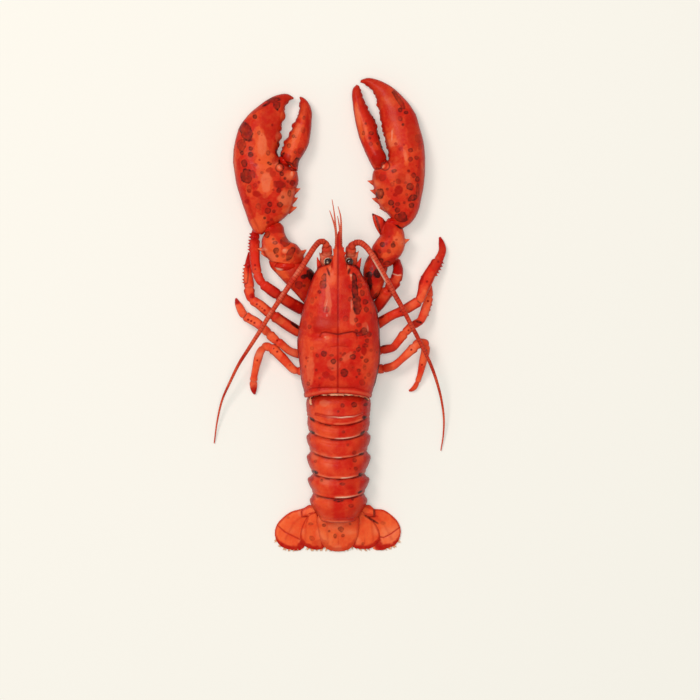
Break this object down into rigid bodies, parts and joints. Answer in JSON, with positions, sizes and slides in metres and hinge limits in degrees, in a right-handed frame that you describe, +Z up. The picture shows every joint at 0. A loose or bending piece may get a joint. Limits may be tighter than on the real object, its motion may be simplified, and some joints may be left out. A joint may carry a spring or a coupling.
{
  "type": "cooked lobster",
  "caption": "Whole boiled lobster lying on its belly, claws stretched forward, long feelers swept back over the legs and the tail fan spread flat.",
  "frame": {"origin": "centre of the flat underside of the thorax, on the middle line of the body", "axes": "+Y towards the claws along the body, +X to the animal's right-hand claw as seen from above, +Z up"},
  "size_m": [0.1752, 0.3566, 0.0496],
  "materials": {
    "cooked_shell_red": "boiled shell, semi-gloss, blotched",
    "cooked_shell_deep_red": "boiled leg shell, semi-gloss",
    "cooked_shell_orange": "boiled thin shell, semi-gloss",
    "thin_shell_pale_orange": "boiled thin shell, satin",
    "whip_red": "ringed whip, satin",
    "eye_dark": "wet gloss"
  },
  "bodies": {
    "root": {"carapace": "cooked_shell_red", "abdomen_1": "cooked_shell_red", "abdomen_2": "cooked_shell_red", "abdomen_3": "cooked_shell_red", "abdomen_4": "cooked_shell_red", "abdomen_5": "cooked_shell_red", "abdomen_6": "cooked_shell_red", "crusher_palm": "cooked_shell_red", "crusher_finger": "cooked_shell_red", "crusher_wrist": "cooked_shell_red", "crusher_arm": "cooked_shell_red", "cutter_palm": "cooked_shell_red", "cutter_finger": "cooked_shell_red", "cutter_wrist": "cooked_shell_red", "cutter_arm": "cooked_shell_red", "leg_left_1": "cooked_shell_deep_red", "leg_left_2": "cooked_shell_deep_red", "leg_left_3": "cooked_shell_deep_red", "leg_left_4": "cooked_shell_deep_red", "leg_right_1": "cooked_shell_deep_red", "leg_right_2": "cooked_shell_deep_red", "leg_right_3": "cooked_shell_deep_red", "leg_right_4": "cooked_shell_deep_red", "telson": "cooked_shell_orange", "uropod_inner_left": "cooked_shell_orange", "uropod_inner_right": "cooked_shell_orange", "uropod_outer_left": "cooked_shell_orange", "uropod_outer_right": "cooked_shell_orange", "mouth_leg_left": "cooked_shell_orange", "mouth_leg_right": "cooked_shell_orange", "thorax_underside": "thin_shell_pale_orange", "swimmeret_left_1": "thin_shell_pale_orange", "swimmeret_left_2": "thin_shell_pale_orange", "swimmeret_left_3": "thin_shell_pale_orange", "swimmeret_left_4": "thin_shell_pale_orange", "swimmeret_left_5": "thin_shell_pale_orange", "swimmeret_right_1": "thin_shell_pale_orange", "swimmeret_right_2": "thin_shell_pale_orange", "swimmeret_right_3": "thin_shell_pale_orange", "swimmeret_right_4": "thin_shell_pale_orange", "swimmeret_right_5": "thin_shell_pale_orange", "feeler_base_left": "whip_red", "feeler_base_right": "whip_red", "feeler_left": "whip_red", "feeler_right": "whip_red", "small_feeler_left": "whip_red", "small_feeler_right": "whip_red", "eye_left": "eye_dark", "eye_right": "eye_dark"}
  },
  "joints": []
}
